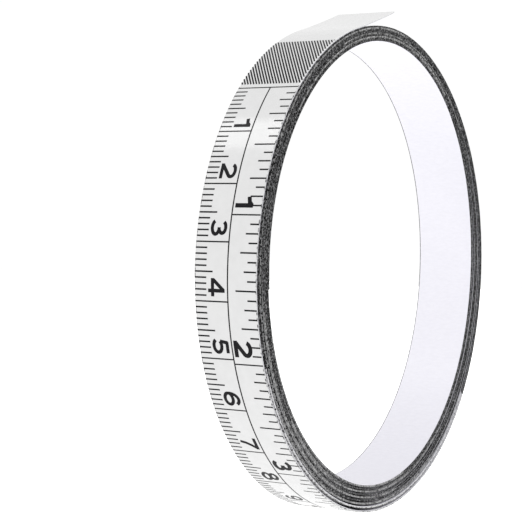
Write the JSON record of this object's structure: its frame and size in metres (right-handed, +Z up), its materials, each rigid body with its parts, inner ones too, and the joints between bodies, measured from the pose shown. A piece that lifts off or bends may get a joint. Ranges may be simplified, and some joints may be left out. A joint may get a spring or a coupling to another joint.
{
  "type": "self-adhesive measuring tape roll",
  "caption": "Coil of self-adhesive measuring tape standing on its rim, printed with centimetres and inches, with a release liner and a free outer end.",
  "frame": {"origin": "on the surface that the roll stands on, under the middle of its bounding box", "axes": "+X along the coil's axis towards the inch edge of the tape, +Z up, +Y the way the free outer end points"},
  "size_m": [0.012, 0.0932, 0.0944],
  "materials": {
    "printed_steel": "glossy white coat, black print, bare dark cut edges",
    "adhesive": "tacky translucent film",
    "release_liner": "smooth satin, pale lavender"
  },
  "bodies": {
    "coil": {"tape_core_turns": "printed_steel", "adhesive_core_turns": "adhesive", "liner_core_turns": "release_liner"},
    "outer_turns": {"tape_outer_turns": "printed_steel", "adhesive_outer_turns": "adhesive", "liner_outer_turns": "release_liner"},
    "leader": {"tape_leader": "printed_steel", "adhesive_leader": "adhesive", "liner_leader": "release_liner"},
    "liner_tab": {"liner_tab": "release_liner"},
    "tail": {"tape_tail": "printed_steel", "adhesive_tail": "adhesive", "liner_tail": "release_liner"}
  },
  "joints": [
    {"name": "turns_shift", "type": "slide", "parent": "coil", "child": "outer_turns", "axis": [1, 0, 0], "range_m": [-0.002, 0.002]},
    {"name": "leader_lift", "type": "hinge", "parent": "outer_turns", "child": "leader", "pos_m": [0, -0.01232, 0.08974], "axis": [1, 0, 0], "range_deg": [0, 70], "stiffness_Nm_per_rad": 0.002},
    {"name": "liner_peel", "type": "hinge", "parent": "leader", "child": "liner_tab", "pos_m": [0, -0.00554, 0.09186], "axis": [-1, 0, 0], "range_deg": [0, 15]},
    {"name": "tail_lift", "type": "hinge", "parent": "coil", "child": "tail", "pos_m": [0, -0.03861, 0.06353], "axis": [1, 0, 0], "range_deg": [0, 30], "stiffness_Nm_per_rad": 0.002}
  ]
}
